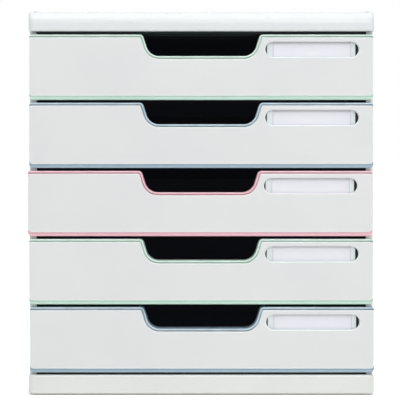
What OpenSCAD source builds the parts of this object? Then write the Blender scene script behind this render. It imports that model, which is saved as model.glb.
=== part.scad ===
// Desktop drawer tower for A4 and C4 papers: five trays that slide out of a white case.
// Each tray is closed by a front in three layers: the tray's own dark wall, a coloured
// frame that edges the finger scoop, and a white face with a window for a paper label.
// +Z is up, the fronts face -Y, and the origin is under the middle of the case.

/* [Case] */
// Width of the cap and the base
case_w = 288.4; // [288.4:0.2:320]
// Depth of the case, front to back
case_d = 350; // [320:1:400]
// Height of the cap
cap_h = 17.3; // [14:0.1:26]
// Height of the base, without the feet
base_h = 16; // [12:0.1:26]
// Wall of the cap and of the base
shell_t = 2.6; // [1.8:0.1:3.2]
// Radius of the upright corners of the cap and the base
plan_r = 5; // [3.5:0.5:10]
// Radius of the cap's nose, along its front edge
nose_r = 11; // [4:0.5:13]
// Radius of the cap's other top edges
cap_edge_r = 3.2; // [3.2:0.1:5]
// Radius of the base's lower edge
base_edge_r = 2.4; // [0.5:0.1:4]
// Radius of the base's upper front edge
base_top_r = 1.6; // [0.4:0.1:2]
// Thickness of the stiffening ribs under the cap and the base
rib_t = 1.6; // [1:0.1:3]

/* [Feet] */
// Diameter of a rubber foot
foot_d = 18; // [12:0.5:24]
// Height of a rubber foot
foot_h = 3; // [2:0.1:5]
// How far the feet stand out below the base
foot_proud = 0.8; // [0.4:0.1:1.6]
// Distance of a foot's centre from the sides of the base
foot_in_x = 22; // [18:1:60]
// Distance of a foot's centre from the front and back of the base
foot_in_y = 24; // [18:1:80]
// Bevel round the bottom of a rubber foot
foot_bevel = 0.6; // [0.2:0.1:1]
// Wall of the boss that holds a foot
boss_t = 3; // [1.5:0.1:5]
// Depth of the stacking pockets in the cap
pocket_h = 0.9; // [0.5:0.1:1.6]
// Gap round a foot in its stacking pocket
pocket_gap = 1; // [0.5:0.1:2]

/* [Side walls] */
// Step from the cap's edge to the face of a side panel
side_in = 0.6; // [0:0.1:1.2]
// Thickness of a side panel
panel_t = 2.4; // [1.8:0.1:3]
// Width of a side panel's turned-in edges
edge_w = 5.8; // [4.8:0.1:7]
// Thickness of a side panel's turned-in edges
edge_t = 2.6; // [1.6:0.1:4]
// Radius of a side panel's outer edges
edge_r = 1.2; // [0.4:0.1:1.5]
// Thickness of the dark frame inside a side panel
frame_t = 2.2; // [1.6:0.1:3]
// Length of the tabs that hold a side frame in the cap and the base
tab_l = 30; // [15:1:50]
// Height of those tabs
tab_h = 6; // [3:0.5:10]
// Distance between the tabs
tab_pitch = 120; // [70:5:140]

/* [Runners] */
// How far a runner's ledge stands out from the side frame
ledge_w = 7.5; // [6:0.1:8.2]
// Thickness of a runner ledge
ledge_t = 2; // [1.4:0.1:3]
// Thickness of the rail between a runner's two ledges
rail_t = 1; // [0.6:0.1:1.6]
// How far the upper ledge stands back from the lower one
keeper_in = 1.5; // [0:0.1:3]
// Distance from the back of a front to the ends of the ledges
ledge_gap = 4; // [2:0.5:10]
// Distance between the webs under a ledge
web_pitch = 60; // [40:5:100]
// Distance from the ends of the ledges to the start of a tray's flange
flange_in = 1; // [0:0.5:5]
// Height of a tray's flange above the bottom of its front
flange_z = 43; // [36:0.5:44]
// Thickness of a tray's flange
flange_t = 2; // [1.4:0.1:3]
// Free height above the flange in its runner
flange_play = 1.3; // [1.2:0.1:3]
// Gap between a flange and the ledge that it slides on
slide_gap = 0.3; // [0.2:0.05:0.6]
// Gap between a flange and the rail beside it, with the drawer in the middle
side_play = 1.6; // [1.4:0.1:2.5]
// Height of the catch ears on a tray's flanges
ear_h = 0.9; // [0.7:0.05:1]
// Length of the catch ears
ear_l = 11; // [5:0.5:20]
// Width of the catch ears and of the stop lugs that they meet
ear_w = 3.5; // [2:0.1:4]
// Length of the stop lugs
lug_l = 6; // [3:0.5:12]
// How far a drawer slides out
travel = 250; // [180:1:270]
// Gap left between ear and lug when a drawer is right out
stop_gap = 0.3; // [0.1:0.05:0.6]

/* [Linings] */
// Thickness of the dark plate under the cap
ceiling_t = 1.6; // [1:0.1:2.4]
// How far the strip under that plate hangs below the cap
lip_drop = 4; // [3:0.1:6]
// Gap between the top drawer's rim and that strip
lip_gap = 1; // [0.5:0.1:2]
// Thickness of the dark plate on the base
floor_t = 1; // [0.6:0.1:1.4]
// Thickness of the rear panel
rear_t = 2.4; // [1.8:0.1:4]
// Step from the back of the case to the back of the rear panel
rear_in = 3.6; // [3.4:0.1:8]
// Depth of the panes pressed into the back of the rear panel
pane_t = 0.8; // [0.3:0.1:1.2]
// Margin of those panes at their sides
pane_in = 20; // [10:1:60]
// Radius of those panes' corners
pane_r = 8; // [3:0.5:15]

/* [Drawer fronts] */
// Step from the side of the case to the end of a drawer front
front_in = 1.2; // [1.2:0.1:4]
// Height of a drawer front
front_h = 54.3; // [52:0.1:70]
// Gap between one front and the next
front_gap = 2.4; // [1.5:0.1:5]
// Gap between the top front and the cap
top_gap = 2.8; // [2:0.1:8]
// Gap between the lowest front and the base
bottom_gap = 2; // [1.6:0.1:8]
// Radius of a front's lower corners
front_r = 3; // [1.5:0.1:6]
// Radius of a front's upper corners
front_top_r = 1.4; // [0.5:0.1:4]
// Thickness of the white face
face_t = 3; // [2.4:0.1:4]
// Thickness of the coloured frame's plate
plate_t = 2; // [1.6:0.1:3]
// Width of the coloured lip along the top and round the scoop
lip_w = 1.5; // [1:0.1:2]
// Width of the coloured lip along the bottom
lip_low_w = 2.3; // [1:0.1:4]
// How far the coloured lip stays behind the white face
lip_back = 0.4; // [0.1:0.1:1.2]
// Width of the groove between the coloured lip and the white face
groove_w = 0.8; // [0.4:0.1:1]
// Depth of the coloured rim round the scoop, front to back
rim_d = 12.6; // [8:0.1:13]
// Length of that rim beyond the scoop's upper corners
rim_end = 4; // [3:0.5:10]
// Gap between a front and the side walls behind it
front_clear = 1; // [0.5:0.1:3]
// How far each drawer sits from the middle, from the lowest drawer up
drawer_shift = [0.6, -0.2, -1.2, -0.1, 0]; // [-1.2:0.1:1.2]

/* [Finger scoop] */
// Width of the scoop across its top, between the sharp corners
scoop_w = 97.8; // [70:0.1:110]
// Depth of the scoop
scoop_h = 17.9; // [14:0.1:22]
// Slope of the scoop's sides
scoop_flare = 17.6; // [5:0.1:30]
// Radius of the scoop's lower corners
scoop_r = 11; // [6:0.5:13]
// Radius of the scoop's upper corners
scoop_rim_r = 3.3; // [3.1:0.1:6]

/* [Label] */
// Distance from the scoop's upper corner to the label window
window_gap = 4.4; // [4:0.1:20]
// Distance from the label window to the end of the front
window_in = 12; // [8:0.1:20]
// Height of the label window
window_h = 12.6; // [10:0.1:16]
// Distance of the window's middle below the top of the front
window_down = 12.4; // [11:0.1:22]
// Gap from the ends of the window to the ends of the label carrier
carrier_gap = 2.25; // [1.5:0.05:6]
// How far the carrier lies from the middle of the window
carrier_shift = -0.8; // [-1:0.1:1]
// Thickness of the label carrier
carrier_t = 1; // [0.6:0.1:1.4]
// How far the carrier and the label reach above and below the window, behind the face
carrier_rim = 0.8; // [0.4:0.1:1.5]
// Distance from the ends of the carrier to the ends of the paper label
label_in = 4.6; // [4:0.1:16]
// Thickness of the paper label
label_t = 0.3; // [0.15:0.05:0.5]
// How far the label lies from the middle of its carrier
label_shift = 1.8; // [-2:0.1:2]

/* [Trays] */
// Wall of a tray
tray_t = 2; // [1.4:0.1:2.6]
// Step from the outer edge of a tray's flange to the end of its front wall
wall_in = 1.5; // [1:0.1:4]
// Thickness of a tray's floor
tray_floor_t = 2; // [1.2:0.1:3]
// Step from the bottom of the front to the underside of the tray
tray_up = 2.5; // [1.5:0.1:6]
// Gap between a tray's side and the tips of the ledges
wall_play = 2.5; // [2:0.1:5]
// Gap between a tray and the rear panel
rear_clear = 6; // [2:0.5:20]
// Radius of a tray's rear corners
tray_r = 8; // [3:0.5:20]
// Radius of the hollow where a tray's floor meets its front
sweep_r = 7; // [3:0.5:12]
// Height of the runners moulded under a tray
skid_h = 0.9; // [0.5:0.1:1.2]
// Width of those runners
skid_w = 3; // [1:0.1:6]
// Distance between those runners
skid_pitch = 80; // [40:1:100]
// Distance from a tray's front to the ends of those runners
skid_in = 10; // [4:1:40]

/* [Face clips] */
// Width of the clips that hold the white face
clip_w = 10; // [5:0.5:14]
// Thickness of the clips
clip_t = 1.8; // [1.2:0.1:2.6]
// Distance of the clips from the ends of the front
clip_in = 31; // [24:1:50]
// Height of the clips above the bottom of the front
clip_z = 12; // [8:0.5:24]
// Gap round each clip
clip_gap = 0.2; // [0.1:0.05:0.4]

/* [Hidden] */
$fn = 64;
count = 5;
parts = ["tray", "frame", "face", "label_carrier", "label"];

white = [0.93, 0.94, 0.94];
black = [0.06, 0.07, 0.07];
mint = [0.72, 0.88, 0.80];
blue = [0.58, 0.69, 0.78];
pink = [0.92, 0.70, 0.76];
paper = [0.91, 0.91, 0.96];
// Colour of each drawer's frame, from the lowest drawer up
frame_colours = [blue, mint, pink, blue, mint];

// Gap between pieces that are fitted together, how far a cut runs past what it cuts, and
// how far an arc reaches into the straight line that it blends with
fit = 0.2;
past = 1;
seam = 0.01;

// Depths, from the front of the case to its back
y_front = -case_d / 2;
y_back = case_d / 2;
y_plate = y_front + face_t;
y_seat = y_plate + plate_t;
y_rim = y_front + lip_back + rim_d;
y_edge = y_seat + front_clear;
y_ledge = y_rim + ledge_gap;
y_rear = y_back - rear_in - rear_t;
y_tray = y_rear - rear_clear;
y_flange = y_ledge + flange_in;
y_ear = y_tray - tray_r - ear_l;
y_lug = y_ear - travel - stop_gap;

// Heights, from the floor to the top of the cap
z_base = foot_proud + base_h;
pitch = front_h + front_gap;
z_cap = z_base + bottom_gap + count * pitch - front_gap + top_gap;
height = z_cap + cap_h;
z_floor = tray_up + tray_floor_t;
z_flange_top = flange_z + flange_t;
z_tray_front = front_h - lip_w - fit;

// Height of the bottom of a drawer's front, counted from the lowest drawer
function z_drawer(i) = z_base + bottom_gap + i * pitch;

// Widths, measured from the middle
x_case = case_w / 2;
x_panel = x_case - side_in;
x_frame = x_panel - panel_t;
x_bay = x_frame - frame_t;
x_rail = x_bay - fit;
x_ledge = x_bay - ledge_w;
x_turn = x_panel - edge_w;
x_flange = min(x_turn, x_rail - rail_t) - side_play;
x_tray = x_ledge - wall_play;
x_wall = x_flange - wall_in;
x_front = x_case - front_in;
x_clip = x_front - clip_in;
x_rim = scoop_w / 2 + rim_end;
x_foot = x_case - foot_in_x;
y_foot = y_back - foot_in_y;

// Lengths of the label window, of the carrier behind it and of the label
window_w = x_front - window_in - window_gap - scoop_w / 2;
window_x = scoop_w / 2 + window_gap + window_w / 2;
carrier_w = window_w - 2 * carrier_gap;
label_w = carrier_w - 2 * label_in;

// The face of a front is drawn in from the coloured frame's outline by lip and groove
face_in = lip_w + groove_w;
face_low = lip_low_w + groove_w;
window_z = front_h - window_down;
pocket_rim = carrier_rim + fit;

// Rounded rectangle from one corner to the opposite one
module round_rect(low, high, r) {
    size = high - low;
    translate(low + [r, 0]) square(size - [2 * r, 0]);
    translate(low + [0, r]) square(size - [0, 2 * r]);
    for (x = [low.x + r, high.x - r], y = [low.y + r, high.y - r])
        translate([x, y]) circle(r);
}

// Shape drawn across the front, given depth from y0 back to y1
module across(y0, y1) {
    translate([0, y1, 0]) rotate([90, 0, 0]) linear_extrude(y1 - y0) children();
}

// Shape drawn on the side view, given width from x0 to x1
module along(x0, x1) {
    translate([x0, 0, 0]) rotate([90, 0, 90]) linear_extrude(x1 - x0) children();
}

// Shape drawn on the plan, given height from z0 up to z1
module upright(z0, z1) {
    translate([0, 0, z0]) linear_extrude(z1 - z0) children();
}

module block(low, high) {
    translate(low) cube(high - low);
}

module both_sides() {
    children();
    mirror([1, 0, 0]) children();
}

module at_feet() {
    for (x = [-x_foot, x_foot], y = [-y_foot, y_foot]) translate([x, y, 0]) children();
}

// Plan of the case, drawn in by a margin
module case_plan(margin) {
    corner = [x_case - margin, y_back - margin];
    round_rect(-corner, corner, plan_r - margin);
}

// Side view of the cap, drawn in by a margin: a wide nose in front, a small radius behind
module cap_side(margin) {
    top = height - margin;
    nose = nose_r - margin;
    back = cap_edge_r - margin;
    low = y_front + margin;
    high = y_back - margin;
    translate([low, z_cap - past]) square([high - low, top - nose - z_cap + past]);
    translate([low + nose, z_cap]) square([high - low - nose - back, top - z_cap]);
    translate([high - back - past, z_cap]) square([back + past, top - back - z_cap]);
    translate([low + nose, top - nose]) circle(nose);
    translate([high - back, top - back]) circle(back);
}

// Front view of the cap, with its two top edges rounded
module cap_front() {
    round_rect([-x_case, z_cap - 2 * cap_edge_r], [x_case, height], cap_edge_r);
}

// Grid of ribs between two heights, whose ends reach half a wall into the skirt
module rib_grid(z0, z1) {
    end_x = x_case - shell_t / 2;
    end_y = y_front + shell_t / 2;
    for (y = [-tab_pitch / 2, tab_pitch / 2])
        block([-end_x, y - rib_t / 2, z0], [end_x, y + rib_t / 2, z1]);
    block([-rib_t / 2, end_y, z0], [rib_t / 2, y_rear - fit, z1]);
}

// The cap is a hollow moulding, ribbed inside, with pockets for another tower's feet
module top_cap() {
    color(white) {
        difference() {
            intersection() {
                upright(z_cap, height + past) case_plan(0);
                along(-x_case - past, x_case + past) cap_side(0);
                across(y_front - past, y_back + past) cap_front();
            }
            intersection() {
                upright(z_cap - past, height) case_plan(shell_t);
                along(-x_case, x_case) cap_side(shell_t);
            }
            at_feet() translate([0, 0, height - pocket_h])
                cylinder(d = foot_d + 2 * pocket_gap, h = pocket_h + past);
        }
        intersection() {
            rib_grid(z_cap, height);
            along(-x_case, x_case) cap_side(shell_t / 2);
        }
    }
}

// Front view of the base, with its two lower edges rounded
module base_front() {
    round_rect([-x_case, foot_proud], [x_case, z_base + base_h], base_edge_r);
}

// Side view of the base: rounded under the front and back, and a little on top
module base_side() {
    for (y = [y_front + base_edge_r, y_back - base_edge_r])
        translate([y, foot_proud + base_edge_r]) circle(base_edge_r);
    for (y = [y_front + base_top_r, y_back - base_top_r])
        translate([y, z_base - base_top_r]) circle(base_top_r);
    translate([y_front, foot_proud + base_edge_r])
        square([case_d, base_h - base_edge_r - base_top_r]);
    translate([y_front + base_edge_r, foot_proud])
        square([case_d - 2 * base_edge_r, base_h / 2]);
    translate([y_front + base_top_r, z_base - base_h / 2])
        square([case_d - 2 * base_top_r, base_h / 2]);
}

// The base is the same moulding turned over, with a boss round each foot and slots
// in its top for the tabs of the side frames
module base_plinth() {
    z_roof = z_base - shell_t;
    color(white) difference() {
        union() {
            difference() {
                intersection() {
                    upright(foot_proud, z_base) case_plan(0);
                    along(-x_case - past, x_case + past) base_side();
                    across(y_front - past, y_back + past) base_front();
                }
                upright(0, z_roof) case_plan(shell_t);
            }
            rib_grid(foot_proud + base_edge_r, z_roof + shell_t / 2);
            at_feet() translate([0, 0, foot_proud])
                cylinder(d = foot_d + 2 * boss_t, h = z_roof + shell_t / 2 - foot_proud);
        }
        at_feet() cylinder(d = foot_d + 2 * fit, h = foot_h);
        both_sides() frame_tabs(z_base - tab_h - fit, z_base + past, fit);
    }
}

module rubber_feet() {
    color([0.25, 0.25, 0.25]) at_feet() {
        translate([0, 0, foot_bevel]) cylinder(d = foot_d, h = foot_h - foot_bevel);
        cylinder(d1 = foot_d - 2 * foot_bevel, d2 = foot_d, h = foot_bevel);
    }
}

// Tabs of the right side frame, between two heights and grown by a gap
module frame_tabs(z0, z1, gap) {
    for (y = [-tab_pitch, 0, tab_pitch])
        block([x_bay - gap, y - tab_l / 2 - gap, z0], [x_frame + gap, y + tab_l / 2 + gap, z1]);
}

// A side panel stands between base and cap, and its edges turn in round the side frame
module right_side_panel() {
    y_end = y_back - rear_in + fit + edge_t;
    color(white) upright(z_base, z_cap) {
        translate([x_frame, y_edge + edge_r]) square([panel_t, y_end - y_edge - 2 * edge_r]);
        for (y = [y_edge, y_end - edge_t])
            translate([x_turn, y]) square([edge_w - edge_r, edge_t]);
        for (y = [y_edge + edge_r, y_end - edge_r])
            translate([x_panel - edge_r, y]) circle(edge_r);
    }
}

module left_side_panel() {
    mirror([1, 0, 0]) right_side_panel();
}

// A side frame is a dark plate that carries five runners, tabbed into base and cap
module right_side_frame() {
    color(black) {
        block([x_bay, y_edge + edge_t + fit, z_base], [x_frame, y_back - rear_in, z_cap]);
        frame_tabs(z_base - tab_h, z_base + tab_h, 0);
        frame_tabs(z_cap - tab_h, z_cap + tab_h, 0);
    }
}

module left_side_frame() {
    mirror([1, 0, 0]) right_side_frame();
}

// Plan of one ledge, with its front corner taken off to lead the flange in
module ledge_plan(width) {
    lead = width / 2;
    polygon([
        [x_rail, y_ledge], [x_bay - width + lead, y_ledge], [x_bay - width, y_ledge + 2 * lead],
        [x_bay - width, y_rear - fit], [x_rail, y_rear - fit]
    ]);
}

// A runner is a channel welded to its side frame. The flange rides on the lower ledge; the
// upper one keeps the drawer level when it is pulled out and carries the stop lug.
module runner() {
    z_low = flange_z - slide_gap;
    z_high = z_flange_top + flange_play;
    web_x = x_ledge + keeper_in;
    color(black) {
        block([x_rail - rail_t, y_ledge, z_low - ledge_t], [x_rail, y_rear - fit, z_high + ledge_t]);
        upright(z_low - ledge_t, z_low) ledge_plan(ledge_w);
        upright(z_high, z_high + ledge_t) ledge_plan(ledge_w - keeper_in);
        block(
            [x_flange - ear_w, y_lug - lug_l, z_flange_top + slide_gap],
            [x_rail, y_lug, z_high + ledge_t / 2]
        );
        for (y = [y_ledge + web_pitch / 2 : web_pitch : y_rear - web_pitch / 2])
            across(y, y + rib_t)
                polygon([
                    [x_rail, z_low - ledge_t / 2], [web_x, z_low - ledge_t / 2],
                    [web_x, z_low - ledge_t], [x_rail, z_low - ledge_t - ledge_w]
                ]);
    }
}

// The rear panel closes the case, and a pane behind each drawer stiffens it
module rear_panel() {
    y_end = y_rear + rear_t;
    pane = [x_bay - pane_in, front_h / 2 - pane_r];
    color(black) difference() {
        block([-x_bay, y_rear, z_base], [x_bay, y_end, z_cap + tab_h]);
        for (i = [0:count - 1])
            across(y_end - pane_t, y_end + past)
                translate([0, z_drawer(i) + front_h / 2]) round_rect(-pane, pane, pane_r);
    }
}

// Plan of the plates that line the bay, clear of the side panels' turned-in edges
module lining_plan() {
    x_mouth = x_turn - fit;
    translate([-x_mouth, y_plate + fit]) square([2 * x_mouth, y_rear - y_plate - fit]);
    translate([-x_bay, y_edge + edge_t + fit]) square([2 * x_bay, y_rear - y_edge - edge_t - fit]);
}

module ceiling_plate() {
    color(black) upright(z_cap - ceiling_t, z_cap) lining_plan();
}

// The ceiling's lip is a strip under that plate. It hangs down behind the top front and
// shows through its scoop.
module ceiling_lip() {
    y_lip = y_rim + lip_gap;
    color(black) block(
        [-x_bay + fit, y_lip, z_cap - lip_drop],
        [x_bay - fit, y_lip + ceiling_t, z_cap - ceiling_t]
    );
}

module floor_plate() {
    color(black) upright(z_base, z_base + floor_t) lining_plan();
}

// The finger scoop, cut in a front's top edge and grown by a margin. Its outline is two
// arcs and a tangent line on each side; growing it keeps the arcs' centres.
module scoop(margin) {
    s = sin(scoop_flare);
    c = cos(scoop_flare);
    low = [scoop_w / 2 - (scoop_r + (scoop_h - scoop_r) * s) / c, front_h - scoop_h + scoop_r];
    rim = [scoop_w / 2 + scoop_rim_r * (1 - s) / c, front_h - scoop_rim_r];
    out = [c, -s];
    low_r = scoop_r + margin;
    rim_r = scoop_rim_r - margin;
    half = [[low.x, low.y - low_r], low + low_r * out, rim - rim_r * out, rim, [rim.x, front_h + past]];
    left = [for (i = [len(half) - 1 : -1 : 0]) [-half[i].x, half[i].y]];
    difference() {
        union() {
            polygon(concat(half, left));
            for (side = [-1, 1]) translate([side * low.x, low.y]) circle(low_r + seam);
        }
        for (side = [-1, 1]) translate([side * rim.x, rim.y]) circle(rim_r + seam);
    }
}

// Outline of a front, drawn in at the top and round the scoop, and along the bottom
module front_outline(top, bottom) {
    middle = front_h / 2;
    low = [x_front - front_r, bottom + front_r];
    high = [x_front - front_top_r, front_h - top - front_top_r];
    difference() {
        union() {
            translate([-x_front, low.y]) square([2 * x_front, high.y - low.y]);
            translate([-low.x, bottom]) square([2 * low.x, middle - bottom]);
            translate([-high.x, middle]) square([2 * high.x, front_h - top - middle]);
            for (side = [-1, 1]) {
                translate([side * low.x, low.y]) circle(front_r);
                translate([side * high.x, high.y]) circle(front_top_r);
            }
        }
        scoop(top);
    }
}

// The label window is a slot with round ends
module window() {
    r = window_h / 2;
    translate([window_x, window_z]) {
        square([window_w - window_h, window_h], center = true);
        for (side = [-1, 1]) translate([side * (window_w / 2 - r), 0]) circle(r);
    }
}

// Places of the face's four clips, as seen from the front
module at_clips() {
    for (side = [-1, 1], z = [clip_z, 2 * clip_z]) translate([side * x_clip, z]) children();
}

// The coloured frame is a plate behind the face, with a lip that comes forward along the
// top, the scoop and the bottom, and a rim that runs back round the scoop as a finger grip
module drawer_frame() {
    difference() {
        union() {
            across(y_plate, y_seat) front_outline(0, 0);
            across(y_front + lip_back, y_plate) difference() {
                front_outline(0, 0);
                front_outline(lip_w, lip_low_w);
            }
            across(y_seat, y_rim) intersection() {
                difference() {
                    front_outline(0, 0);
                    front_outline(lip_w, lip_low_w);
                }
                translate([-x_rim, front_h / 2]) square([2 * x_rim, front_h]);
            }
        }
        across(y_plate - past, y_seat + past) translate([window_x, window_z])
            square([window_w + 2 * pocket_rim, window_h + 2 * pocket_rim], center = true);
        across(y_plate - past, y_seat + past) at_clips()
            square([clip_w + 2 * clip_gap, clip_t + 2 * clip_gap], center = true);
    }
}

// The white face lies inside the coloured lip, and four clips reach through to the tray
module drawer_face() {
    difference() {
        across(y_front, y_plate) front_outline(face_in, face_low);
        across(y_front - past, y_plate + past) window();
    }
    across(y_plate - face_t / 2, y_seat + tray_t) at_clips() square([clip_w, clip_t], center = true);
}

// The carrier is shorter than the window, so a dark sliver is left at each round end
module drawer_label_carrier() {
    across(y_seat - carrier_t, y_seat)
        translate([window_x + carrier_shift, window_z])
            square([carrier_w, window_h + 2 * carrier_rim], center = true);
}

module drawer_label() {
    across(y_seat - carrier_t - label_t, y_seat - carrier_t)
        translate([window_x + carrier_shift + label_shift, window_z])
            square([label_w, window_h + 2 * carrier_rim], center = true);
}

// Plan of a tray, drawn in by a margin, with wide corners at the back
module tray_plan(margin) {
    r = tray_r - margin;
    x = x_tray - margin;
    y_low = y_seat + margin;
    y_high = y_tray - margin;
    translate([-x, y_low]) square([2 * x, y_high - y_low - r]);
    translate([-x + r, y_low]) square([2 * (x - r), y_high - y_low]);
    for (side = [-1, 1]) translate([side * (x - r), y_high - r]) circle(r);
}

// Side view of what joins a tray's side to its higher front wall
module shoulder() {
    rise = z_tray_front - z_flange_top;
    difference() {
        translate([y_seat, z_flange_top - past]) square([tray_t + rise, rise + past]);
        translate([y_seat + tray_t + rise, z_tray_front]) circle(rise);
    }
}

// Side view of the hollow that sweeps a tray's floor up into its front wall
module sweep() {
    y_in = y_seat + tray_t;
    difference() {
        translate([y_in - past, z_floor - past]) square(sweep_r + past);
        translate([y_in + sweep_r, z_floor + sweep_r]) circle(sweep_r);
    }
}

// A tray hangs by its side flanges, whose ears meet the stop lugs when it is pulled out
module drawer_tray() {
    difference() {
        union() {
            difference() {
                upright(tray_up, z_flange_top) tray_plan(0);
                upright(z_floor, z_flange_top + past) tray_plan(tray_t);
            }
            across(y_seat, y_seat + tray_t)
                translate([-x_wall, tray_up]) square([2 * x_wall, z_tray_front - tray_up]);
            along(-x_tray + tray_t / 2, x_tray - tray_t / 2) sweep();
            both_sides() {
                along(x_tray - tray_t, x_tray) shoulder();
                upright(flange_z, z_flange_top) flange_plan();
                block([x_flange - ear_w, y_ear, flange_z], [x_flange, y_ear + ear_l, z_flange_top + ear_h]);
            }
            for (x = [-skid_pitch, 0, skid_pitch])
                block(
                    [x - skid_w / 2, y_seat + skid_in, tray_up - skid_h],
                    [x + skid_w / 2, y_tray - skid_in, tray_up + tray_floor_t / 2]
                );
        }
        across(y_seat - past, y_seat + tray_t + past) {
            scoop(lip_w + fit);
            at_clips() square([clip_w + 2 * clip_gap, clip_t + 2 * clip_gap], center = true);
        }
    }
}

// Plan of a flange, with its ends cut back so that it enters the runner easily
module flange_plan() {
    lead = x_flange - x_tray;
    y_end = y_ear + ear_l;
    polygon([
        [x_tray - tray_t / 2, y_flange], [x_tray, y_flange], [x_flange, y_flange + lead],
        [x_flange, y_end], [x_tray, y_end + lead / 2], [x_tray - tray_t / 2, y_end + lead / 2]
    ]);
}

// Place of a drawer, numbered from the top down
module drawer_place(n) {
    i = count - n;
    translate([drawer_shift[i], 0, z_drawer(i)]) children();
}

top_cap();
base_plinth();
left_side_panel();
right_side_panel();
left_side_frame();
right_side_frame();
rear_panel();
ceiling_plate();
ceiling_lip();
floor_plate();
rubber_feet();
for (n = [1:count]) {
    translate([0, 0, z_drawer(count - n)]) mirror([1, 0, 0]) runner();
    translate([0, 0, z_drawer(count - n)]) runner();
    name = str("drawer_", n, "_");
    drawer_place(n) color(black) drawer_tray();
    drawer_place(n) color(frame_colours[count - n]) drawer_frame();
    drawer_place(n) color(white) drawer_face();
    drawer_place(n) color(white) drawer_label_carrier();
    drawer_place(n) color(paper) drawer_label();
}
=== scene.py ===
import bmesh
import bpy
import numpy as np
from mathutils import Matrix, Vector
from mathutils.geometry import tessellate_polygon


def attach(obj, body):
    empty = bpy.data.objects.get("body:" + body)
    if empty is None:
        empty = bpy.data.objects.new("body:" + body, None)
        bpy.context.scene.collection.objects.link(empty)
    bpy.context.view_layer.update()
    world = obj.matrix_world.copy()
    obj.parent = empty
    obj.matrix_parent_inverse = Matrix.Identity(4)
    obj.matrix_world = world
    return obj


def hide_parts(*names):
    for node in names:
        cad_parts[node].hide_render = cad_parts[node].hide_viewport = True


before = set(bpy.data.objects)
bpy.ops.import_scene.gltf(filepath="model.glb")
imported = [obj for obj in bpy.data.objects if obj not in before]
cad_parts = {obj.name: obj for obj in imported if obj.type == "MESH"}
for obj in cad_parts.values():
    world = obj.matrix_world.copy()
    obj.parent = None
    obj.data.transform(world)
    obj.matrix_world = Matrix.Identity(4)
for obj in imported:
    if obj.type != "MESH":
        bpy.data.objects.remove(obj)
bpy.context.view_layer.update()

scene = bpy.context.scene

# ---------------------------------------------------------------- Camera
# The tower is seen square from the front, from a little above its middle. The camera is
# level, and a small shift brings the whole tower into the frame. Camera and studio are in
# metres.
view_width = 0.3324
camera_gap = 0.90
camera_height = 0.187
view_middle = [-0.0011, 0.1623]
front_plane = -0.175
sensor_width = 36
lens = bpy.data.cameras.new("camera")
lens.sensor_width = sensor_width
lens.lens = sensor_width * camera_gap / view_width
lens.shift_y = (view_middle[1] - camera_height) / view_width
camera = bpy.data.objects.new("camera", lens)
camera.location = (view_middle[0], front_plane - camera_gap, camera_height)
camera.rotation_euler = (np.pi / 2, 0, 0)
scene.collection.objects.link(camera)
scene.camera = camera
scene.view_settings.view_transform = "Standard"

# ---------------------------------------------------------------- Studio
# A white floor that runs out of sight under soft light: a wide softbox overhead, one in front
# that stands a little to the right, a low one at each side, the right one stronger, and an
# even pale surround.


def shader_nodes(owner):
    """Clears the node tree of a material or the world, and gives a function that adds nodes:
    a socket given for an input is linked to it, and any other value is set on it."""
    owner.use_nodes = True
    tree = owner.node_tree
    tree.nodes.clear()

    def add(kind, inputs=(), **settings):
        node = tree.nodes.new("ShaderNode" + kind)
        for name, value in settings.items():
            setattr(node, name, value)
        for key, value in dict(inputs).items():
            if isinstance(value, bpy.types.NodeSocket):
                tree.links.new(value, node.inputs[key])
            else:
                node.inputs[key].default_value = value
        return node

    return add


def seen_directly(add):
    """1 for rays from the camera, or from it by way of a mirror or glass, and 0 for others."""
    rays = add("LightPath").outputs
    seen = add("Math", {0: rays["Is Camera Ray"], 1: rays["Is Transmission Ray"]}, operation="MAXIMUM")
    return add("Math", {0: seen.outputs[0], 1: rays["Is Glossy Ray"]}, operation="MAXIMUM").outputs[0]


def softbox(name, place, aim, size, power, colour=(1, 1, 1)):
    """Square area lamp that stands at place and shines towards aim."""
    lamp = bpy.data.lights.new(name, "AREA")
    lamp.size = size
    lamp.energy = power
    lamp.color = colour
    holder = bpy.data.objects.new(name, lamp)
    holder.location = place
    holder.rotation_euler = (Vector(aim) - Vector(place)).to_track_quat("-Z", "Y").to_euler()
    scene.collection.objects.link(holder)


studio = bpy.data.worlds.new("studio")
scene.world = studio
add = shader_nodes(studio)
surround = add("Background", {"Color": (0.96, 0.985, 1, 1), "Strength": 0.42})
backdrop = add("Background", {"Color": (1, 1, 1, 1), "Strength": 1.0})
either = add("MixShader", {0: seen_directly(add), 1: surround.outputs[0], 2: backdrop.outputs[0]})
add("OutputWorld", {"Surface": either.outputs[0]})

front_middle = (0, -0.17, 0.14)
softbox("overhead_light", (0, -0.5, 1.55), (0, -0.12, 0.2), 1.3, 11.5, (1, 1, 0.985))
softbox("front_light", (0.4, -2.1, 1.25), front_middle, 0.8, 10.0)
softbox("right_light", (1.9, -1.0, 0.3), front_middle, 0.7, 3.6)
softbox("left_light", (-1.9, -1.0, 0.3), front_middle, 0.7, 1.6)

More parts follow.
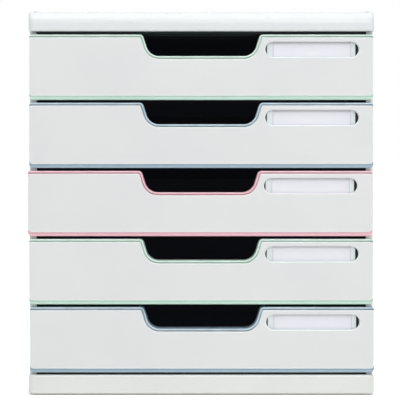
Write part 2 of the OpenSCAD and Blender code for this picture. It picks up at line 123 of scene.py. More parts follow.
# The floor glows a little for the camera, which keeps it white. Close to the tower's plan the
# glow fades, so that the shadow under the tower's edge stays.
floor_half = 30.0
plan_half = (0.144, 0.175, 0)
fade_from, fade_to = -0.004, 0.012
glow_near, glow_far = 0.12, 0.65
floor_mesh = bpy.data.meshes.new("studio_floor")
corners = [(x * floor_half, y * floor_half, 0) for x, y in ((-1, -1), (1, -1), (1, 1), (-1, 1))]
floor_mesh.from_pydata(corners, [], [(0, 1, 2, 3)])
floor = bpy.data.objects.new("studio_floor", floor_mesh)
scene.collection.objects.link(floor)
paper_white = bpy.data.materials.new("studio_floor")
add = shader_nodes(paper_white)
lit = add("BsdfDiffuse", {"Color": (0.93, 0.93, 0.91, 1)})
place = add("TexCoord").outputs["Object"]
beside = add("VectorMath", {0: place}, operation="ABSOLUTE").outputs[0]
beside = add("VectorMath", {0: beside, 1: plan_half}, operation="SUBTRACT").outputs[0]
beside = add("SeparateXYZ", {0: beside}).outputs
beside = add("Math", {0: beside[0], 1: beside[1]}, operation="MAXIMUM").outputs[0]
glow = add("MapRange", {"Value": beside, "From Min": fade_from, "From Max": fade_to,
                        "To Min": glow_near, "To Max": glow_far}).outputs[0]
glow = add("Math", {0: seen_directly(add), 1: glow}, operation="MULTIPLY").outputs[0]
glow = add("Emission", {"Color": (1, 1, 1, 1), "Strength": glow}).outputs[0]
both = add("AddShader", {0: lit.outputs[0], 1: glow})
add("OutputMaterial", {"Surface": both.outputs[0]})
floor_mesh.materials.append(paper_white)

# ---------------------------------------------------------------- Feet
# Four rubber feet, moulded with a bevel and pressed into the bosses of the base.


def dress(node, material):
    """Gives a CAD node's object a material in place of its plain one."""
    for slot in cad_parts[node].material_slots:
        slot.material = material


def drifting(add, value, low, high, start=0.0, end=1.0):
    """Colour that goes from low to high while the value goes from start to end."""
    ramp = add("ValToRGB", {0: value})
    for stop, position, colour in zip(ramp.color_ramp.elements, (start, end), (low, high)):
        stop.position = position
        stop.color = (*colour, 1)
    return ramp.outputs[0]


def blended(add, share, first, second):
    """Share of the second colour over the first. A Mix node's colours are its inputs 6 and 7
    and its output 2."""
    return add("Mix", {0: share, 6: first, 7: (*second, 1)}, data_type="RGBA").outputs[2]


def moulded(name, low, high, rough, grain, grain_depth,
            worn_and_lit=(0, 0, 0), worn_and_lit_share=0.0, sheen=0.5, veil=0.0):
    """Moulded plastic or rubber. Its colour drifts between low and high over some 8 cm, grain
    is the number of dimples per metre that the mould leaves, long faint scuffs change the
    gloss, and faces marked on the mesh take a share of the worn colour. That colour makes the
    rounded edges of the case, cap and linings lighter; on the crests of the coloured lips and
    rim it is painted highlight, and on the edges of the white faces it is painted reflection of
    the lip's colour and painted highlight. sheen is the strength of the gloss, 0.5 on plain
    plastic, and veil a faint painted glow over blacks, which stands in for stray light."""
    material = bpy.data.materials.new(name)
    add = shader_nodes(material)
    place = add("TexCoord").outputs["Object"]
    drift = add("TexNoise", {"Vector": place, "Scale": 12.0, "Detail": 3.0}).outputs[0]
    wear_and_painted_light = add("Attribute", attribute_name="wear_and_painted_light").outputs["Fac"]
    patchy = add("TexNoise", {"Vector": place, "Scale": 90.0, "Detail": 4.0}).outputs[0]
    worn_and_lit_mix = add("Math", {0: wear_and_painted_light, 1: patchy}, operation="MULTIPLY").outputs[0]
    worn_and_lit_mix = add("Math", {0: worn_and_lit_mix, 1: worn_and_lit_share}, operation="MULTIPLY").outputs[0]
    colour = blended(add, worn_and_lit_mix, drifting(add, drift, low, high, 0.35, 0.65), worn_and_lit)
    upright = add("Mapping", {"Vector": place, "Scale": (9.0, 9.0, 70.0)}).outputs[0]
    scuff = add("TexNoise", {"Vector": upright, "Scale": 6.0, "Detail": 6.0, "Roughness": 0.65}).outputs[0]
    gloss = add("MapRange", {"Value": scuff, "From Min": 0.3, "From Max": 0.7,
                             "To Min": rough - 0.05, "To Max": rough + 0.06}).outputs[0]
    gloss = add("Math", {0: worn_and_lit_mix, 1: -0.25, 2: gloss}, operation="MULTIPLY_ADD").outputs[0]
    dimples = add("TexVoronoi", {"Vector": place, "Scale": grain}).outputs["Distance"]
    fine = add("TexNoise", {"Vector": place, "Scale": grain * 0.6, "Detail": 2.0}).outputs[0]
    relief = add("Math", {0: dimples, 1: 0.5, 2: fine}, operation="MULTIPLY_ADD").outputs[0]
    bump = add("Bump", {"Height": relief, "Strength": 0.5, "Distance": grain_depth}).outputs[0]
    skin = add("BsdfPrincipled", {"Base Color": colour, "Roughness": gloss, "Normal": bump,
                                  "IOR": 1.49, "Specular IOR Level": sheen,
                                  "Emission Color": (0.70, 0.74, 1.0, 1), "Emission Strength": veil})
    add("OutputMaterial", {"Surface": skin.outputs[0]})
    return material


rubber = moulded("foot_rubber", (0.035, 0.035, 0.037), (0.06, 0.06, 0.06), 0.75, 1500, 0.0003)
dress("rubber_feet", rubber)

# ---------------------------------------------------------------- Base
# White moulded base: a rounded skirt and a roof in one shell, ribs across the inside, a
# boss round each foot, and slots in the roof that take the tabs of the side frames. From here
# on lengths are in millimetres, and piece() turns them into metres.
MM = 0.001
case_w, case_d, plan_r, shell_t = 288.4, 350.0, 5.0, 2.6
base_low, base_top, roof_low = 0.8, 16.8, 14.2
skirt_low_r, skirt_top_r, inner_bevel = 2.4, 1.6, 0.15
foot_x, foot_y, foot_d, foot_hole = 122.2, 151.0, 18.0, 3.0
boss_wall, boss_bevel, foot_play, hole_bevel = 3, 0.3, 0.2, 0.2
rib_t, rib_y, rib_end_y, rib_rise = 1.6, 60.0, 168.8, 2.4
tab_x, tab_l, tab_pitch = (139.0, 141.2), 30.0, 120.0
slot_half, slot_r = (1.3, tab_l / 2 + 0.2), 0.2
sunk = 0.6  # how far ribs and bosses stand in the shell that they are moulded on
# Rounded edges are marked for a second colour: lighter edges on the case, painted highlight and reflection
# on the fronts.
edge_width = 0.8  # bands narrower than this are rounded edges
least_r, sharp_r = 0.05, 0.1

white = moulded("case_white", (0.79, 0.80, 0.785), (0.82, 0.828, 0.81), 0.38, 1100, 0.00006,
                (0.95, 0.97, 0.95), 0.5)


def bend(start, end, count):
    """Angles from start to end degrees, as radians."""
    return np.radians(np.linspace(start, end, count))


def by_rows(values):
    """Values for the rows of a surface: plain values are made a column, one to each row."""
    values = np.asarray(values, float)
    return values if values.ndim > 1 else values.reshape(-1, 1)


def quarter(count):
    """Rounded edge of radius 1, from its side to its flat: how far each row lies inside the
    side, 1 - cos a, and short of the flat, 1 - sin a, for a from 0 to 90 degrees."""
    a = by_rows(bend(0, 90, count))
    return 1 - np.cos(a), 1 - np.sin(a)


def loft(rings, closed=True):
    """Surface through rings of equal length: each quad joins points j and j + 1 of one ring to
    the same two of the next ring. Gives points, faces and each face's mark for wear and
    painted light, 1 on rounded edges."""
    rings = np.asarray(rings, float)
    rows, count, _ = rings.shape
    i = np.arange(rows - 1)[:, None] * count
    j = np.arange(count if closed else count - 1)[None, :]
    k = (j + 1) % count
    quads = np.stack([i + j, i + k, i + k + count, i + j + count], -1).reshape(-1, 4)
    width = np.linalg.norm(np.diff(rings, axis=0), axis=-1).mean(1)
    wear_and_painted_light = np.repeat((width < edge_width).astype(float), j.size)
    return rings.reshape(-1, 3), quads, wear_and_painted_light


def lid(outline, *holes):
    """Flat cover over an outline, less its holes, cut into triangles."""
    loops = (outline, *holes)
    faces = np.array(tessellate_polygon([[Vector(p) for p in loop] for loop in loops]))
    return np.concatenate(loops), faces, np.zeros(len(faces))


def solid(rings):
    """Shell through rings, with a lid over the first and one over the last."""
    return [loft(rings), lid(rings[0]), lid(rings[-1])]


def prism(outline, start, end, axes):
    """Flat outline carried straight from start to end. axes says which of x, y and z the
    outline's two directions and the way along are."""
    rings = np.zeros((2, len(outline), 3))
    rings[..., axes[0]] = outline[:, 0]
    rings[..., axes[1]] = outline[:, 1]
    rings[0, :, axes[2]] = start
    rings[1, :, axes[2]] = end
    return solid(rings)


def level(outline, z):
    """A flat outline set at a height."""
    return np.column_stack([outline, np.full(len(outline), z)])


def rounded(low, high, radii, count=5):
    """Rectangle with a radius at each corner, from the upper right one anticlockwise: corner
    centre + r (cos a, sin a)."""
    low, high = np.array(low, float), np.array(high, float)
    parts = []
    for n, r in enumerate(radii):
        a = bend(90 * n, 90 * n + 90, count)
        x = high[0] - r if n in (0, 3) else low[0] + r
        y = high[1] - r if n in (0, 1) else low[1] + r
        parts.append(np.stack([x + r * np.cos(a), y + r * np.sin(a)], -1))
    return np.concatenate(parts)


def lathe(centre, radii, heights, count=48):
    """Rings about an upright axis: at each height, centre + radius (cos a, sin a)."""
    a = np.arange(count) * 2 * np.pi / count
    r = by_rows(radii)
    z = by_rows(heights) + 0 * a
    return np.stack([centre[0] + r * np.cos(a), centre[1] + r * np.sin(a), z], -1)


corner_points = 13
plan_a = np.concatenate([bend(q, q + 90, corner_points) for q in (0, 90, 180, 270)])
plan_side = np.repeat([[1, 1], [-1, 1], [-1, -1], [1, -1]], corner_points, axis=0)


def plan_rows(*parts):
    """Rows for plan_rings, one part after another. Each row of a part holds one value, or one
    for each point of the plan."""
    return np.concatenate([by_rows(part) + np.zeros(len(plan_a)) for part in parts])


def plan_rings(margins, heights, half=(case_w / 2, case_d / 2), radius=plan_r, middle=0.0):
    """Rings round a plan, drawn in by margins at heights. Each corner is centre + r (cos a,
    sin a), where r is its radius less the margin; the centre moves in once r is spent."""
    r = np.maximum(radius - margins, least_r)
    x = plan_side[:, 0] * (half[0] - margins - r) + r * np.cos(plan_a)
    y = middle + plan_side[:, 1] * (half[1] - margins - r) + r * np.sin(plan_a)
    return np.stack([x, y, heights], -1)


def rib_bars(low, high, front_end=-case_d / 2 + shell_t / 2):
    """Three ribs that cross inside the skirt, rounded along their free lower edges."""
    r = rib_t / 2 - sharp_r
    across = rounded((-rib_t / 2, low), (rib_t / 2, high), (sharp_r, sharp_r, r, r))
    end = case_w / 2 - shell_t / 2
    bars = [prism(across + [y, 0], -end, end, (1, 2, 0)) for y in (-rib_y, rib_y)]
    return bars + [prism(across, front_end, rib_end_y, (0, 2, 1))]


def moved(shells, offset):
    """The same shells, further along x, y and z."""
    return [[(points + np.array(offset), faces, wear_and_painted_light) for points, faces, wear_and_painted_light in shell] for shell in shells]


def piece(name, shells, material, slot, body, *nodes):
    """One object from closed shells. Each shell's surfaces are joined where they meet and
    turned outwards, edges over 35 degrees stay sharp, and flats keep flat shading."""
    whole = bmesh.new()
    for surfaces in shells:
        mesh = bpy.data.meshes.new("shell")
        points, faces, wear_and_painted_light = zip(*surfaces)
        starts = np.cumsum([0] + [len(part) for part in points])
        faces = [face for start, part in zip(starts, faces) for face in (part + start).tolist()]
        mesh.from_pydata(np.concatenate(points) * MM, [], faces)
        mark = mesh.attributes.new("wear_and_painted_light", "FLOAT", "FACE")
        mark.data.foreach_set("value", np.concatenate(wear_and_painted_light))
        shell = bmesh.new()
        shell.from_mesh(mesh)
        bmesh.ops.remove_doubles(shell, verts=shell.verts, dist=2e-6)
        bmesh.ops.dissolve_degenerate(shell, edges=shell.edges, dist=1e-7)
        bmesh.ops.recalc_face_normals(shell, faces=shell.faces)
        shell.to_mesh(mesh)
        shell.free()
        whole.from_mesh(mesh)
        bpy.data.meshes.remove(mesh)
    mesh = bpy.data.meshes.new(name)
    whole.to_mesh(mesh)
    whole.free()
    mesh.shade_smooth()
    mesh.set_sharp_from_angle(angle=np.radians(35))
    mesh.materials.append(material)
    thing = bpy.data.objects.new(name, mesh)
    scene.collection.objects.link(thing)
    flats = thing.modifiers.new("flats", "WEIGHTED_NORMAL")
    flats.keep_sharp = True
    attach(thing, body)
    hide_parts(*nodes)


across, up = quarter(8)
outside = plan_rings(
    plan_rows([shell_t], skirt_low_r * across[::-1], skirt_top_r * across),
    plan_rows([base_low], base_low + skirt_low_r * up[::-1], base_top - skirt_top_r * up),
)
inside = plan_rings(
    plan_rows([shell_t, shell_t, shell_t + inner_bevel]),
    plan_rows([base_low, roof_low - inner_bevel, roof_low]),
)
tab_middle = sum(tab_x) / 2
slots = [rounded(np.subtract(middle, slot_half), np.add(middle, slot_half), [slot_r] * 4, 3)
         for middle in [(x, y) for x in (-tab_middle, tab_middle) for y in (-tab_pitch, 0, tab_pitch)]]
slot_low = [level(s, roof_low) for s in slots]
slot_top = [level(s, base_top) for s in slots]
skirt = [loft(outside), loft(inside), lid(outside[-1], *slot_top), lid(inside[-1], *slot_low)]
skirt += [loft(pair) for pair in zip(slot_low, slot_top)]
boss_r, hole_r = foot_d / 2 + boss_wall, foot_d / 2 + foot_play
bosses = []
for x, y in ((-foot_x, -foot_y), (foot_x, -foot_y), (-foot_x, foot_y), (foot_x, foot_y)):
    radii = [boss_r, boss_r, boss_r - boss_bevel, hole_r + hole_bevel, hole_r, hole_r]
    heights = [roof_low + sunk, base_low + boss_bevel, base_low, base_low, base_low + hole_bevel, foot_hole]
    bosses.append(solid(lathe((x, y), radii, heights)))
piece("base_moulding", [skirt] + rib_bars(base_low + rib_rise, roof_low + sunk) + bosses,
      white, "case_white", "casing", "base_plinth")

# ---------------------------------------------------------------- Case walls and linings
# The side panels are extruded white skins whose edges turn in round the dark side frames.
# Side frames, back wall, ceiling and floor plates are matt black mouldings, and so are the
# runners, one pair for each drawer, and the strip that hangs from the ceiling's front edge.
drawer_count = 5
drawer_numbers = range(1, drawer_count + 1)
strip_half, strip_y, strip_z, strip_r = 138.7, (-160.9, -159.5), (300.3, 301.1), 0.3
# The last value is a faint painted glow, which stands in for stray light on the black linings.
black = moulded("lining_black", (0.006, 0.009, 0.010), (0.009, 0.013, 0.013), 0.6, 900, 0.0002,
                (0.05, 0.05, 0.05), 0.5, 0.22, 0.0029)
for side in ("left", "right"):
    dress(side + "_side_panel", white)
    dress(side + "_side_frame", black)
    for n in drawer_numbers:
        dress(f"{side}_runner_{n}", black)
for node in ("rear_panel", "ceiling_plate", "floor_plate"):
    dress(node, black)
strip = rounded(*zip(strip_y, strip_z), (least_r, least_r, strip_r, strip_r), 4)
piece("ceiling_lip_strip", [prism(strip, -strip_half, strip_half, (1, 2, 0))],
      black, "lining_black", "casing", "ceiling_lip")

# ---------------------------------------------------------------- Cap
# White moulded cap: the same shell turned over, with a wide rounded nose in front, smaller
# radii at its other edges, and four shallow pockets that take the feet of a second tower.
cap_low, cap_top = 302.7, 320.0
nose_r, cap_edge_r, cap_low_r, least_inner_r = 11.0, 3.2, 1.3, 0.4
pocket_h, pocket_r, pocket_bevel, bevel_middle, pocket_sweep = 0.9, 10.0, 0.35, 0.1, 0.3
cap_rib_rise = 0.2
# The cap's white is the case's white painted a little darker, as painted shade.
cap_shaded_white = moulded("cap_shaded_white", (0.765, 0.785, 0.80), (0.79, 0.81, 0.825), 0.36, 1100, 0.00006,
                    (0.85, 0.86, 0.86), 0.5)

# The radius of the upper edge grows from the sides' to the nose's as 3 s^2 - 2 s^3, where s
# is how far the plan faces the front.
front_share = np.clip(-np.sin(plan_a), 0, 1)
front_share = front_share ** 2 * (3 - 2 * front_share)
cap_r = cap_edge_r + (nose_r - cap_edge_r) * front_share
inner_r = np.maximum(cap_r - shell_t, least_inner_r)
across, up = quarter(15)
low_across, low_up = quarter(6)
outside = plan_rings(
    plan_rows([shell_t], cap_low_r * low_across[::-1], cap_r * across),
    plan_rows([cap_low], cap_low + cap_low_r * low_up[::-1], cap_top - cap_r * up),
)
inside = plan_rings(
    plan_rows([shell_t], shell_t + inner_r * across[::2]),
    plan_rows([cap_low], cap_top - shell_t - inner_r * up[::2]),
)
radii = [pocket_r + pocket_bevel, pocket_r + bevel_middle, pocket_r, pocket_r, pocket_r - pocket_sweep]
pocket_low = cap_top - pocket_h
heights = [cap_top, cap_top - bevel_middle, cap_top - pocket_bevel, pocket_low + pocket_sweep, pocket_low]
pockets = [lathe((x, y), radii, heights) for x in (-foot_x, foot_x) for y in (-foot_y, foot_y)]
crown = [loft(outside), loft(inside), lid(outside[-1], *[p[0] for p in pockets]), lid(inside[-1])]
crown += [part for p in pockets for part in (loft(p), lid(p[-1]))]
ribs = rib_bars(cap_low + cap_rib_rise, cap_top - shell_t + sunk, -case_d / 2 + nose_r)
piece("cap_moulding", [crown] + ribs, cap_shaded_white, "case_white", "casing", "top_cap")

# ---------------------------------------------------------------- Trays
# Five dark trays, moulded in one with their front walls and with the side flanges that
# hang in the runners; ears at the back of the flanges stop them when they are pulled out.
# In their runners the drawers sit up to 1.2 mm to one side.
drawer_shift = {1: 0.0, 2: -0.1, 3: -1.2, 4: -0.2, 5: 0.6}
front_y, drawer_low, drawer_pitch = -175.0, 18.8, 56.7
drawer_at = {n: [drawer_shift[n], 0, drawer_low + (drawer_count - n) * drawer_pitch]
             for n in drawer_numbers}
front_half, front_h, front_r, front_top_r = 143.0, 54.3, 3.0, 1.4
scoop_half, scoop_h, scoop_r, rim_r, least_rim_r, flare = 48.9, 17.9, 11.0, 3.3, 0.1, np.radians(17.6)
face_t, plate_t, lip_w = 3.0, 2.0, 1.5
front_t = face_t + plate_t
arc_points, wide_arc_points = 9, 15

tray_half, tray_t, tray_low, tray_floor, tray_top, tray_back = 129.0, 2.0, 2.5, 4.5, 45.0, 163.0
rear_corner_r, front_corner_r, tray_low_r, brim_r, front_brim = 8.0, 2.0, 1.8, 0.6, 30.0
sweep_r, front_sweep_r = 3.0, 7.0
wall_half, wall_top, wall_t, wall_bevel, wall_gap = 134.7, 52.6, 1.95, 0.3, 0.2
web_y, web_front_y = -168, -169.5
flange_half, flange_low, flange_y, flange_gap = 136.2, 43.0, -157.0, 0.02
ear_y, ear_l, ear_w, ear_h, ear_r = 144.0, 11.0, 3.5, 0.9, 0.5
skid_x, skid_half, skid_h, skid_r, skid_y = (-80, 0, 80), 1.5, 0.9, 0.6, (-160, 153)
rooted, ear_rooted = 1, 0.5  # how far a flange, web or skid stands in the pan, and an ear in its flange
# The last value is a faint painted glow, which stands in for stray light on the black trays.
tray_black = moulded("tray_black", (0.010, 0.012, 0.013), (0.015, 0.017, 0.018), 0.55, 900, 0.0002,
                     (0.05, 0.05, 0.05), 0.5, 0.35, 0.004)


def turn(x, z, r, start, end, count=arc_points):
    """Arc about a centre from start to end degrees, one row for each radius."""
    a = bend(start, end, count)
    return np.stack(np.broadcast_arrays(x + r * np.cos(a), z + r * np.sin(a)), -1)


def scoop_line(margin):
    """The finger scoop from right to left, drawn into the front by a margin: a small corner
    of radius rim_r less the margin, a straight flared side, and a wide corner of radius
    scoop_r plus the margin, then the same mirrored."""
    m = by_rows(margin)
    s, c, f = np.sin(flare), np.cos(flare), np.degrees(flare)
    r = np.maximum(rim_r - m, least_rim_r)
    rim_x = scoop_half + (m + r) * (1 - s) / c
    rim_z = front_h - m - r
    low_x = scoop_half - (scoop_r + (scoop_h - scoop_r) * s) / c
    low_z = front_h - scoop_h + scoop_r
    return np.concatenate([
        turn(rim_x, rim_z, r, 90, 180 - f),
        turn(low_x, low_z, scoop_r + m, -f, -90, wide_arc_points),
        turn(-low_x, low_z, scoop_r + m, -90, f - 180, wide_arc_points),
        turn(-rim_x, rim_z, r, f, 90),
    ], 1)


def standing(points, depth):
    """Points across and up a front, set at a depth behind its foremost plane."""
    x, y, z = np.broadcast_arrays(points[..., 0], front_y + by_rows(depth), points[..., 1])
    return np.stack([x, y, z], -1)


# The pan is one surface from its underside up over the brim and down to its floor. Its brim is
# lower along the front, where the front wall stands.
in_front = np.sin(plan_a) < -0.05
brim = np.where(in_front, front_brim, tray_top)
hollow_r = np.where(in_front, front_sweep_r, sweep_r)
corner_r = np.repeat([rear_corner_r, rear_corner_r, front_corner_r, front_corner_r], corner_points)
across, up = quarter(7)
pan = solid(plan_rings(
    plan_rows(tray_low_r * across[::-1], brim_r * across,
              tray_t - brim_r * across[::-1], tray_t + hollow_r * across),
    plan_rows(tray_low + tray_low_r * up[::-1], brim - brim_r * up,
              brim - brim_r * up[::-1], tray_floor + hollow_r * up),
    (tray_half, (tray_back - front_y - front_t) / 2), corner_r, (tray_back + front_y + front_t) / 2,
))
wall_points = np.concatenate([
    np.broadcast_to([[-wall_half, tray_low], [wall_half, tray_low], [wall_half, wall_top]], (4, 3, 2)),
    scoop_line(lip_w + wall_gap + np.array([wall_bevel, 0, 0, wall_bevel])),
    np.broadcast_to([[-wall_half, wall_top]], (4, 1, 2)),
], 1)
front_wall = solid(standing(wall_points, front_t + np.array([0, wall_bevel, wall_t - wall_bevel, wall_t])))
tray = [pan, front_wall]

# Behind the front wall the sides rise to its top in a quarter circle.
rise = wall_top - tray_top
a = bend(180, 270, 9)
web = np.concatenate([
    [[web_front_y, tray_top - rooted], [web_front_y, wall_top]],
    np.column_stack([web_y + rise + rise * np.cos(a), wall_top + rise * np.sin(a)]),
    [[web_y + rise, tray_top - rooted]],
])
lead = flange_half - tray_half
flange = np.array([
    [tray_half - rooted, flange_y], [tray_half, flange_y], [flange_half, flange_y + lead],
    [flange_half, ear_y + ear_l], [tray_half, ear_y + ear_l + lead / 2],
    [tray_half - rooted, ear_y + ear_l + lead / 2],
])
for side in (-1, 1):
    tray.append(prism(web, side * (tray_half - tray_t), side * tray_half, (1, 2, 0)))
    tray.append(prism(flange * [side, 1], flange_low, tray_top - flange_gap, (0, 1, 2)))
    inner, outer = sorted([side * (flange_half - ear_w), side * flange_half])
    ear = rounded((inner, ear_y), (outer, ear_y + ear_l), [ear_r] * 4)
    tray.append(prism(ear, tray_top - ear_rooted, tray_top + ear_h, (0, 1, 2)))
for x in skid_x:
    skid = rounded((x - skid_half, tray_low - skid_h), (x + skid_half, tray_low + rooted),
                   (sharp_r, sharp_r, skid_r, skid_r))
    tray.append(prism(skid, *skid_y, (0, 2, 1)))
for n in drawer_numbers:
    piece(f"drawer_{n}_tray_moulding", moved(tray, drawer_at[n]), tray_black, "tray_black",
          f"drawer_{n}", f"drawer_{n}_tray")

# ---------------------------------------------------------------- Coloured front frames
# A pastel plate lies between tray and face. Its lip comes forward along the top, round the
# scoop and along the bottom, and a rim runs back round the scoop as a finger grip.
low_lip_w, lip_back, crest_h, groove_w = 2.3, 0.4, 0.75, 0.8
upper_groove, lower_groove = 2.6, 1.1
# Shares of painted highlight on the lip crests: the upper lip, lit from above, takes much more of it than
# the lower.
upper_crest_highlight, lower_crest_highlight = 2.2, 0.3
rim_d, rim_round, rim_reach = 12.6, 0.6, 4.0
window_x, window_z, window_w, window_h, pocket_rim = 92.15, 41.9, 77.7, 12.6, 1.0
clips = [(x, z) for x in (-112, 112) for z in (12, 24)]
clip_slot, slot_corner_r = (5.2, 1.1), 0.3
frame_colour = {1: "frame_mint", 2: "frame_blue", 3: "frame_pink", 4: "frame_mint", 5: "frame_blue"}
# Each pastel's second, paler colour is painted highlight on the crests of its lips and rim.
pastels = {
    "frame_mint": moulded("frame_mint", (0.54, 0.745, 0.64), (0.57, 0.775, 0.67), 0.3, 1300, 0.00004,
                          (0.84, 0.98, 0.92), 0.5),
    "frame_blue": moulded("frame_blue", (0.305, 0.425, 0.52), (0.33, 0.45, 0.545), 0.3, 1300, 0.00004,
                          (0.70, 0.82, 0.91), 0.5),
    "frame_pink": moulded("frame_pink", (0.84, 0.475, 0.55), (0.87, 0.505, 0.58), 0.3, 1300, 0.00004,
                          (1.0, 0.63, 0.72), 0.55),
}


def front_rings(top, low, side, depth):
    """Outline of a front from its lower left corner anticlockwise, drawn in along the bottom,
    the sides, and the top and scoop. A corner's radius is the front's less the side margin."""
    top, low, side = by_rows(top), by_rows(low), by_rows(side)
    r, high_r = front_r - side, front_top_r - side
    x, high_x, high_z = front_half - front_r, front_half - front_top_r, front_h - top - high_r
    arcs = [
        turn(-x, low + r, r, 180, 270), turn(x, low + r, r, 270, 360), turn(high_x, high_z, high_r, 0, 90),
        scoop_line(top), turn(-high_x, high_z, high_r, 90, 180),
    ]
    rows = max(len(arc) for arc in arcs)
    line = np.concatenate([np.broadcast_to(arc, (rows, *arc.shape[1:])) for arc in arcs], 1)
    return standing(line, depth)


def half_round(count):
    """Half circle over a strip: shares across it, and how far each lies below its crest."""
    a = bend(0, 180, count)
    return 0.5 - 0.5 * np.cos(a), 1 - np.sin(a)


def lip(points, shares, depths):
    """Lip or rim: a section of shares across and depths, carried along a strip of the front.
    points holds the strip's outer and inner lines, and a share of 0 to 1 lies between them."""
    line = points[0] + (points[1] - points[0]) * by_rows(shares)[..., None]
    rings = standing(line, depths)
    closed = np.concatenate([rings, rings[:1]])
    return [loft(closed, closed=False), lid(rings[:, 0]), lid(rings[:, -1])]


def grooved_lip(points, width, groove, highlight_share):
    """Lip with a half round crest and, on its inner side, a groove of the given depth between
    it and the face. The mark on its rounded edges, which takes painted highlight, is
    multiplied by a share."""
    crest, below = half_round(13)
    edge = 1 + groove_w / width
    surfaces = lip(points, np.concatenate([[0], crest, [1, edge, edge]]),
                   np.concatenate([[face_t], lip_back + crest_h * below, [groove, groove, face_t]]))
    return [(corners, faces, highlight_share * wear_and_painted_light) for corners, faces, wear_and_painted_light in surfaces]


outline = front_rings([0, 0], 0, 0, [face_t, front_t])
pocket = np.array([window_w, window_h]) / 2 + pocket_rim
holes = []
for middle, half in [((window_x, window_z), pocket)] + [(clip, clip_slot) for clip in clips]:
    hole = rounded(np.subtract(middle, half), np.add(middle, half), [slot_corner_r] * 4, 4)
    holes.append(standing(np.stack([hole, hole]), [face_t, front_t]))
plate = [loft(outline), lid(outline[0], *[h[0] for h in holes]), lid(outline[1], *[h[1] for h in holes])]
plate += [loft(h) for h in holes]
lip_lines = front_rings([0, lip_w], [0, low_lip_w], 0, 0)[..., [0, 2]]
low_points = 2 * arc_points  # the two lower corners come first in front_rings
upper_lip = grooved_lip(lip_lines[:, low_points:], lip_w, upper_groove, upper_crest_highlight)
lower_lip = grooved_lip(lip_lines[:, :low_points], low_lip_w, lower_groove, lower_crest_highlight)
rim_half = scoop_half + rim_reach
ends = [np.reshape([[x, front_h - m] for m in (0, lip_w)], (2, 1, 2)) for x in (rim_half, -rim_half)]
rim_lines = np.concatenate([ends[0], scoop_line([0, lip_w]), ends[1]], 1)
crest, below = half_round(arc_points)
rim = lip(rim_lines, np.concatenate([[0], crest, [1]]),
          np.concatenate([[front_t], lip_back + rim_d - rim_round * below, [front_t]]))
front_frame = [plate, upper_lip, lower_lip, rim]
for n in drawer_numbers:
    piece(f"drawer_{n}_front_frame", moved(front_frame, drawer_at[n]), pastels[frame_colour[n]],
          frame_colour[n], f"drawer_{n}", f"drawer_{n}_frame")

# ---------------------------------------------------------------- White faces
# Satin white faces with rounded edges, set into the coloured lip with a fine groove round
# them. A slot with round ends shows the label, and four clips reach through to the tray. The
# faces' rounded edges are painted with a light trace of the lip's colour beside them, as
# painted reflection and highlight, and so is the lower half of the window's edge.
face_r, window_r, sill_highlight = 0.8, 0.8, 1.8
clip_half, clip_r, clip_from, clip_to = (5, 0.9), 0.3, 2.9, 7
# Painted reflection and highlight: the light trace of each lip's colour on the faces' edges, so there is
# one white face material for each lip colour.
lip_reflection = {"mint": (0.86, 0.98, 0.93), "blue": (0.88, 0.95, 0.99), "pink": (0.97, 0.91, 0.93)}
face_white = {
    "frame_" + colour: moulded("face_white_by_" + colour, (0.775, 0.78, 0.79), (0.80, 0.805, 0.81),
                               0.34, 1100, 0.00004, reflection, 1.0)
    for colour, reflection in lip_reflection.items()
}


def edge_rows(r, count, foot, flat=0.0):
    """Rows over a rounded edge, from its foot to the flat before it: how far each is drawn in,
    and its depth."""
    across, up = quarter(count)
    return np.concatenate([[[0]], r * across]), np.concatenate([[[foot]], flat + r * up])


def oval(length, width, x, z, margin, depth):
    """Slot with round ends, drawn out by a margin."""
    r = width / 2 + by_rows(margin)
    half = (length - width) / 2
    ends = [turn(x + half, z, r, -90, 90, wide_arc_points), turn(x - half, z, r, 90, 270, wide_arc_points)]
    return standing(np.concatenate(ends, 1), depth)


inset, depth = edge_rows(face_r, 8, face_t)
edge = front_rings(lip_w + groove_w + inset, low_lip_w + groove_w + inset, inset, depth)
window = oval(window_w, window_h, window_x, window_z, *edge_rows(window_r, 7, face_t))
# Only the lower half of the window's edge takes the painted highlight.
points, faces, wear_and_painted_light = loft(window)
low_half = points[faces].mean(1)[:, 2] < window_z
sill = (points, faces, wear_and_painted_light * np.where(low_half, sill_highlight, 0))
cover = [loft(edge), sill, lid(edge[-1], window[-1]), lid(edge[0], window[0])]
fingers = []
for middle in clips:
    finger = rounded(np.subtract(middle, clip_half), np.add(middle, clip_half), [clip_r] * 4, 3)
    fingers.append(prism(finger, front_y + clip_from, front_y + clip_to, (0, 2, 1)))
for n in drawer_numbers:
    piece(f"drawer_{n}_front_face", moved([cover] + fingers, drawer_at[n]), face_white[frame_colour[n]],
          "face_white", f"drawer_{n}", f"drawer_{n}_face")

# ---------------------------------------------------------------- Label carriers and labels
# A white insert fills the pocket behind each window, a little shorter than the window, and
# a blank paper label lies on it.
carrier_w, carrier_x, carrier_t, carrier_rim, carrier_r = 73.9, 91.7, 1.0, 0.8, 0.3
carrier_corner_r = 0.6
label_w, label_x, label_t, label_bow = 65.7, 92.3, 0.3, 0.1
slip_h = window_h + 2 * carrier_rim
# Painted shadow on the slip grows from the first share of its height over the second, and lies outside
# end_band.
shade_from, shade_span, end_band, end_shade, shade_share = 0.05, 0.37, 0.486, 0.5, 0.62
insert_white = moulded("carrier_white", (0.86, 0.91, 0.92), (0.89, 0.94, 0.95), 0.5, 1200, 0.00006)
inset, depth = edge_rows(carrier_r, 6, front_t, front_t - carrier_t)
half = np.array([carrier_w, slip_h]) / 2
middle = np.array([carrier_x, window_z])
outlines = [rounded(middle - half + d, middle + half - d, [carrier_corner_r - d] * 4) for d in inset[:, 0]]
insert = solid(standing(np.stack(outlines), depth))

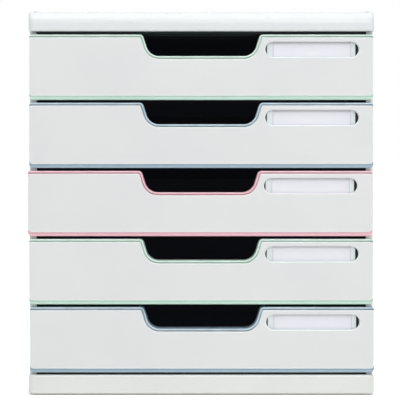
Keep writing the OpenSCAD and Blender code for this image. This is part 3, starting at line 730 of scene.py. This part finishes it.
paper = bpy.data.materials.new("label_paper")
add = shader_nodes(paper)
place = add("TexCoord").outputs["Object"]
pulp = add("TexNoise", {"Vector": place, "Scale": 900.0, "Detail": 5.0, "Roughness": 0.7}).outputs[0]
cloud = add("TexNoise", {"Vector": place, "Scale": 60.0, "Detail": 2.0}).outputs[0]
tone = drifting(add, cloud, (0.90, 0.90, 0.97), (0.93, 0.925, 0.98))
bump = add("Bump", {"Height": pulp, "Strength": 0.4, "Distance": 0.00008}).outputs[0]
# The label's marked faces take painted shadow: the paper goes towards this grey under the window's upper
# edge and at the slip's ends.
painted_shade = add("Attribute", attribute_name="wear_and_painted_light").outputs["Fac"]
painted_shade = add("Math", {0: painted_shade, 1: shade_share}, operation="MULTIPLY").outputs[0]
tone = blended(add, painted_shade, tone, (0.46, 0.455, 0.48))
sheet = add("BsdfPrincipled", {"Base Color": tone, "Roughness": 0.85, "Normal": bump})
add("OutputMaterial", {"Surface": sheet.outputs[0]})


def bowed_slip():
    """The label: a slip that bows forward by a tenth of a millimetre in its middle, from a grid
    of x and z. Its depth is the insert's less bow cos(pi x / width) and its thickness. Its ends
    and a band along its upper edge, under the window's edge, are marked for painted shadow."""
    rows = np.concatenate([[-0.5, -0.25, 0], np.linspace(0.08, 0.5, 11)])
    columns = np.concatenate([[-0.5], np.linspace(-end_band, end_band, 31), [0.5]])
    u, v = np.meshgrid(columns, rows, indexing="ij")
    x, z = label_x + label_w * u, window_z + slip_h * v
    back = front_t - carrier_t - label_bow * np.cos(np.pi * u)
    front = np.stack([x, front_y + back - label_t, z], -1)
    rear = np.stack([x, front_y + back, z], -1)
    rim = [np.concatenate([g[:-1, 0], g[-1, :-1], g[:0:-1, -1], g[0, :0:-1]]) for g in (front, rear)]
    points, faces, _ = loft(front, closed=False)
    height = np.tile((rows[1:] + rows[:-1]) / 2, len(columns) - 1)
    at_end = np.repeat(np.abs(columns[1:] + columns[:-1]) > 2 * end_band, len(rows) - 1)
    slip_shade = np.maximum(np.clip((height - shade_from) / shade_span, 0, 1) ** 3, end_shade * at_end)
    return [(points, faces, slip_shade), loft(rear, closed=False), loft(rim)]


slip = bowed_slip()
for n in drawer_numbers:
    piece(f"drawer_{n}_label_insert", moved([insert], drawer_at[n]), insert_white, "carrier_white",
          f"drawer_{n}", f"drawer_{n}_label_carrier")
    piece(f"drawer_{n}_paper_label", moved([slip], drawer_at[n]), paper, "label_paper",
          f"drawer_{n}", f"drawer_{n}_label")
